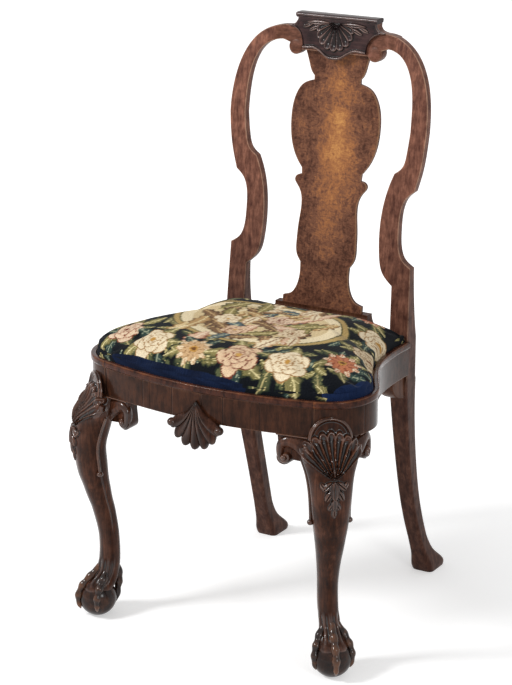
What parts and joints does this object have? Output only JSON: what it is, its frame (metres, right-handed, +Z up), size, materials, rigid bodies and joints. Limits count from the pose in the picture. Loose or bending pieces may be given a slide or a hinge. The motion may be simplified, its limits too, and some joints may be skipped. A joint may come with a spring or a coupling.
{
  "type": "side chair",
  "caption": "Hoop-backed side chair with a vase-shaped splat, carved cabriole front legs on claw-and-ball feet, raked rear legs and a padded seat that lifts out of its rails.",
  "frame": {"origin": "on the floor, under the middle of the chair's bounding box", "axes": "+Z up; -Y towards the front of the seat; +X to the right for someone facing the chair"},
  "size_m": [0.5492, 0.548, 1],
  "materials": {
    "walnut": "wax polished",
    "burr_walnut": "wax polished",
    "walnut_veneer": "wax polished",
    "carved_walnut": "wax polished",
    "beech": "unpolished",
    "iron": "dull",
    "tapestry": "woven wool",
    "webbing": "woven jute",
    "linen": "plain woven",
    "stuffing": "curled hair"
  },
  "bodies": {
    "chair_frame": {"corner_block_front_left": "beech", "corner_block_front_right": "beech", "corner_block_rear_left": "beech", "corner_block_rear_right": "beech", "corner_block_screws": "iron", "crest_rail": "walnut", "crest_tablet": "carved_walnut", "front_leg_left": "carved_walnut", "front_leg_right": "carved_walnut", "front_rail_shell": "carved_walnut", "knee_ear_front_left": "carved_walnut", "knee_ear_front_right": "carved_walnut", "knee_ear_side_left": "carved_walnut", "knee_ear_side_right": "carved_walnut", "rail_pegs": "beech", "rail_veneer_front": "walnut_veneer", "rail_veneer_left": "walnut_veneer", "rail_veneer_right": "walnut_veneer", "rear_bracket_left": "beech", "rear_bracket_right": "beech", "rear_post_left": "walnut", "rear_post_right": "walnut", "seat_lip_front": "walnut", "seat_lip_left": "walnut", "seat_lip_right": "walnut", "seat_rail_front": "walnut", "seat_rail_left": "walnut", "seat_rail_rear": "walnut", "seat_rail_right": "walnut", "splat": "walnut", "splat_shoe": "walnut", "splat_veneer": "burr_walnut"},
    "drop_in_seat": {"base_cloth": "linen", "cover_tacks": "iron", "seat_cover": "tapestry", "seat_stuffing": "stuffing", "slip_rail_front": "beech", "slip_rail_left": "beech", "slip_rail_rear": "beech", "slip_rail_right": "beech", "webbing_crosswise": "webbing", "webbing_lengthwise": "webbing"}
  },
  "joints": [
    {"name": "seat_lift", "type": "slide", "parent": "chair_frame", "child": "drop_in_seat", "axis": [0, 0, 1], "range_m": [0, 0.12]}
  ]
}
